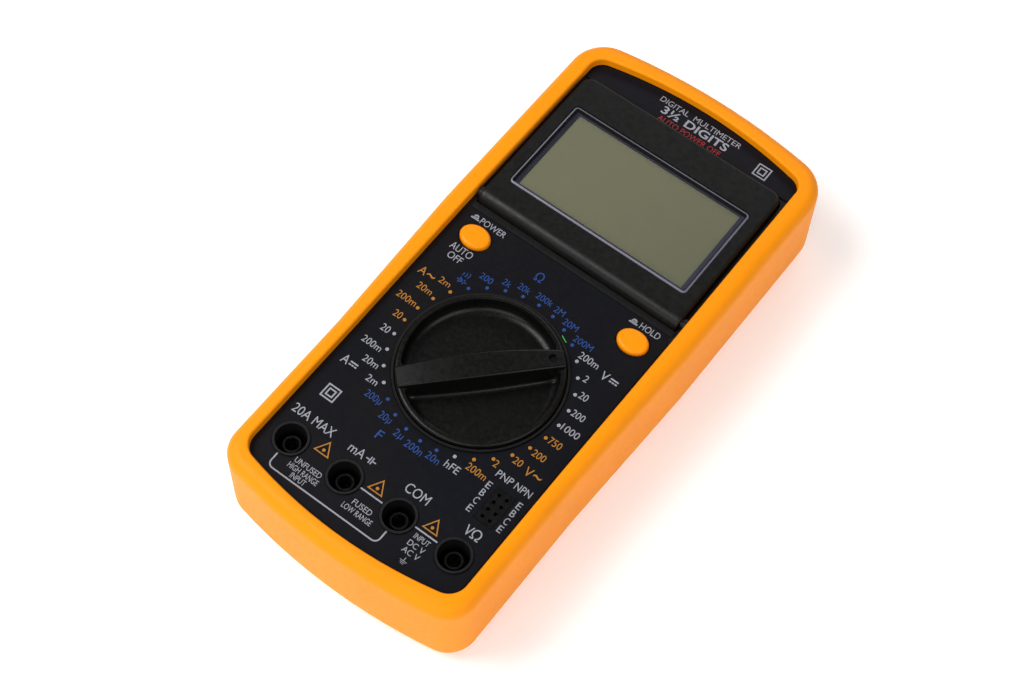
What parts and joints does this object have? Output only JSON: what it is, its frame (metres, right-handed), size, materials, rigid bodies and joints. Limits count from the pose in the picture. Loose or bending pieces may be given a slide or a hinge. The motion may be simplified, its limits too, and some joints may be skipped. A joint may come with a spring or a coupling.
{
  "type": "digital multimeter",
  "caption": "Hand-held digital multimeter in a rubber holster, with a flip-up display, rotary range switch, push keys, plug sockets and a fold-out stand.",
  "frame": {"origin": "middle of the holster's flat back, where the meter lies on a bench", "axes": "+X to the right of the face, +Y towards the display end, +Z out of the face"},
  "size_m": [0.0878, 0.1872, 0.0349],
  "materials": {
    "holster_rubber": "satin orange elastomer",
    "case_black": "fine textured black",
    "label_film": "printed blue-black film",
    "display_black": "satin black",
    "lens_clear": "clear polished",
    "lcd_grey": "grey-green liquid crystal",
    "border_blue": "dark blue-grey",
    "knob_black": "satin black",
    "button_orange": "satin orange",
    "inner_plastic": "natural white",
    "brass": "nickelled brass",
    "steel": "zinc plated",
    "board_green": "solder mask green",
    "gold_track": "gold plated copper",
    "component_black": "moulded epoxy",
    "component_blue": "blue sleeve",
    "resistor_tan": "tan lacquer",
    "fuse_glass": "clear tube with plated caps",
    "battery_jacket": "printed metal jacket",
    "lead_red": "red insulation",
    "lead_black": "black insulation",
    "zebra_rubber": "striped conductive rubber",
    "flex_amber": "amber film",
    "manganin": "bare shunt wire"
  },
  "bodies": {
    "case": {"holster": "holster_rubber", "front_case": "case_black", "rear_case": "case_black", "battery_cover": "case_black", "battery_cover_screw": "steel", "case_screws": "steel", "main_label": "label_film", "top_label": "label_film", "hinge_pins": "steel", "board_flex": "flex_amber", "socket_sleeves": "component_black", "transistor_socket": "component_black", "transistor_contacts": "brass", "main_board": "board_green", "board_screws": "steel", "switch_tracks": "gold_track", "fuse": "fuse_glass", "fuse_clips": "steel", "current_shunt": "manganin", "buzzer": "brass", "main_chip": "component_black", "trimmers": "component_blue", "capacitors": "component_blue", "resistors": "resistor_tan", "battery": "battery_jacket", "battery_snap": "component_black", "battery_lead_red": "lead_red", "battery_lead_black": "lead_black", "socket_20a": "brass", "socket_ma": "brass", "socket_com": "brass", "socket_volt_ohm": "brass", "power_spring": "steel", "power_switch": "component_black", "hold_spring": "steel", "hold_switch": "component_black"},
    "display": {"display_frame": "display_black", "display_back": "display_black", "display_screws": "steel", "lcd_lens": "lens_clear", "lcd_border": "border_blue", "lcd_glass": "lcd_grey", "zebra_strips": "zebra_rubber", "lcd_board": "board_green", "display_flex": "flex_amber"},
    "selector": {"selector_knob": "knob_black", "pointer_inlay": "component_black", "selector_rotor": "inner_plastic", "rotor_screw": "steel", "rotor_contacts": "gold_track", "detent_balls": "steel", "detent_springs": "steel"},
    "stand": {"tilt_stand": "case_black"},
    "power_key": {"power_button": "button_orange", "power_plunger": "inner_plastic"},
    "hold_key": {"hold_button": "button_orange", "hold_plunger": "inner_plastic"}
  },
  "joints": [
    {"name": "display_hinge", "type": "hinge", "parent": "case", "child": "display", "pos_m": [0, 0.02365, 0.0295], "axis": [1, 0, 0], "range_deg": [0, 70]},
    {"name": "selector_turn", "type": "hinge", "parent": "case", "child": "selector", "pos_m": [0, -0.02445, 0.03], "axis": [0, 0, 1], "continuous": true},
    {"name": "power_press", "type": "slide", "parent": "case", "child": "power_key", "axis": [0, 0, -1], "range_m": [0, 0.0014], "stiffness_N_per_m": 600, "springref_m": -0.001, "deforming": ["power_spring"]},
    {"name": "hold_press", "type": "slide", "parent": "case", "child": "hold_key", "axis": [0, 0, -1], "range_m": [0, 0.0014], "stiffness_N_per_m": 600, "springref_m": -0.001, "deforming": ["hold_spring"]},
    {"name": "stand_hinge", "type": "hinge", "parent": "case", "child": "stand", "pos_m": [0, 0.022, 0.004], "axis": [1, 0, 0], "range_deg": [0, 70]}
  ]
}
